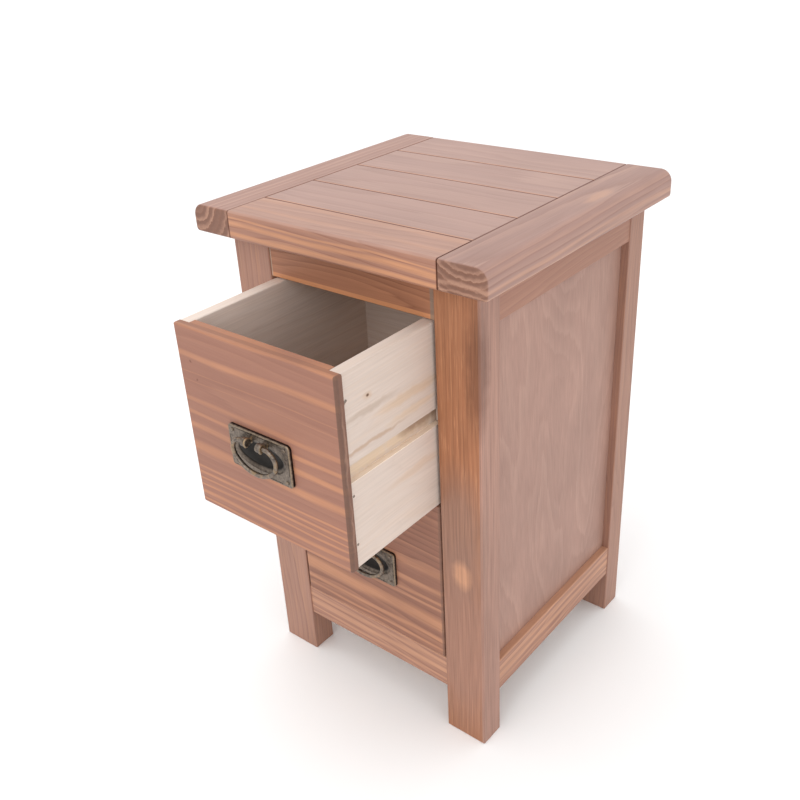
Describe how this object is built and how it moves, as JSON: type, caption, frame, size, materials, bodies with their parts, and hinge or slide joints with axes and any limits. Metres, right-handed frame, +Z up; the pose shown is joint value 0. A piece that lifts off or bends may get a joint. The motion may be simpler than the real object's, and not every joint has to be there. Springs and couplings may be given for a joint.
{
  "type": "nightstand with drawers",
  "caption": "Small stained pine nightstand: planked top with rounded side edges, square legs, panelled sides and drawers on wooden runners with drop-bail handles.",
  "frame": {"origin": "middle of the four feet on the floor", "axes": "+X to the right as seen from the front, +Y to the back, +Z up"},
  "size_m": [0.35, 0.4407, 0.56],
  "materials": {
    "stained_pine": "satin reddish-brown stain over striped pine",
    "stained_panel": "satin reddish-brown stain over thin board",
    "raw_wood": "bare pale softwood",
    "pale_board": "bare thin plywood",
    "antique_metal": "dark antique patina",
    "antique_bail": "dark antique patina with rubbed edges",
    "zinc_steel": "zinc plated"
  },
  "bodies": {
    "cabinet": {"back_bottom_rail": "stained_pine", "back_left_leg": "stained_pine", "back_panel": "stained_panel", "back_right_leg": "stained_pine", "back_top_rail": "stained_pine", "cleat_screws": "zinc_steel", "front_bottom_rail": "stained_pine", "front_left_leg": "stained_pine", "front_right_leg": "stained_pine", "front_top_rail": "stained_pine", "left_bottom_rail": "stained_pine", "left_cleat": "raw_wood", "left_panel": "stained_panel", "left_top_rail": "stained_pine", "lower_left_runner": "raw_wood", "lower_right_runner": "raw_wood", "right_bottom_rail": "stained_pine", "right_cleat": "raw_wood", "right_panel": "stained_panel", "right_top_rail": "stained_pine", "runner_screws": "zinc_steel", "top_front_rail": "stained_pine", "top_left_rail": "stained_pine", "top_plank_1": "stained_pine", "top_plank_2": "stained_pine", "top_plank_3": "stained_pine", "top_plank_4": "stained_pine", "top_right_rail": "stained_pine", "upper_left_runner": "raw_wood", "upper_right_runner": "raw_wood"},
    "upper_drawer": {"upper_drawer_back": "raw_wood", "upper_drawer_bottom": "pale_board", "upper_drawer_front": "stained_pine", "upper_drawer_left_side": "raw_wood", "upper_drawer_nails": "zinc_steel", "upper_drawer_right_side": "raw_wood", "upper_handle_plate": "antique_metal", "upper_handle_posts": "antique_metal", "upper_handle_screws": "zinc_steel", "upper_handle_tacks": "antique_metal"},
    "lower_drawer": {"lower_drawer_back": "raw_wood", "lower_drawer_bottom": "pale_board", "lower_drawer_front": "stained_pine", "lower_drawer_left_side": "raw_wood", "lower_drawer_nails": "zinc_steel", "lower_drawer_right_side": "raw_wood", "lower_handle_plate": "antique_metal", "lower_handle_posts": "antique_metal", "lower_handle_screws": "zinc_steel", "lower_handle_tacks": "antique_metal"},
    "upper_bail": {"upper_handle_bail": "antique_bail"},
    "lower_bail": {"lower_handle_bail": "antique_bail"}
  },
  "joints": [
    {"name": "upper_drawer_slide", "type": "slide", "parent": "cabinet", "child": "upper_drawer", "axis": [0, -1, 0], "range_m": [-0.126, 0.064]},
    {"name": "lower_drawer_slide", "type": "slide", "parent": "cabinet", "child": "lower_drawer", "axis": [0, -1, 0], "range_m": [0, 0.19]},
    {"name": "upper_bail_hinge", "type": "hinge", "parent": "upper_drawer", "child": "upper_bail", "pos_m": [0, -0.2848, 0.398], "axis": [-1, 0, 0], "range_deg": [-7, 170]},
    {"name": "lower_bail_hinge", "type": "hinge", "parent": "lower_drawer", "child": "lower_bail", "pos_m": [0, -0.1588, 0.202], "axis": [-1, 0, 0], "range_deg": [-7, 170]}
  ]
}
